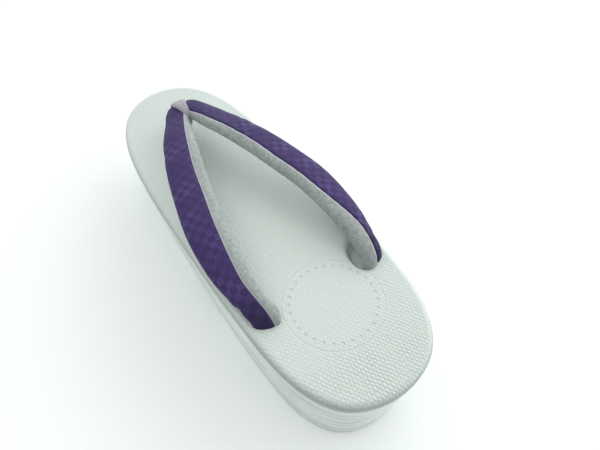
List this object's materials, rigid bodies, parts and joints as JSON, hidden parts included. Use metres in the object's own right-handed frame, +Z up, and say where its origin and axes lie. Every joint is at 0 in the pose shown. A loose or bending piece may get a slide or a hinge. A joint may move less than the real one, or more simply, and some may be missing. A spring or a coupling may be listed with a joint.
{
  "type": "zori sandal",
  "caption": "Wedge-soled zori sandal with a rolled-rim board, padded V-shaped straps faced in figured cloth and a toe strap.",
  "frame": {"origin": "centre of the footprint on the floor, under the sole's middle", "axes": "+X to the right, +Y from heel to toe, +Z up"},
  "size_m": [0.08, 0.24, 0.0649],
  "materials": {
    "outsole_rubber": "matte pale grey rubber",
    "sole_wall": "smooth pearly pale grey cover",
    "board_cover": "embossed silver grey cover with a pearly sheen",
    "strap_lining": "short grey velvet",
    "strap_cloth": "purple figured cloth in a two-tone check"
  },
  "bodies": {
    "root": {"outsole": "outsole_rubber", "lower_layer": "sole_wall", "middle_layer": "sole_wall", "upper_layer": "sole_wall", "footbed": "board_cover", "strap_lining": "strap_lining", "strap_face_left": "strap_cloth", "strap_face_right": "strap_cloth", "front_thong": "strap_lining"}
  },
  "joints": []
}
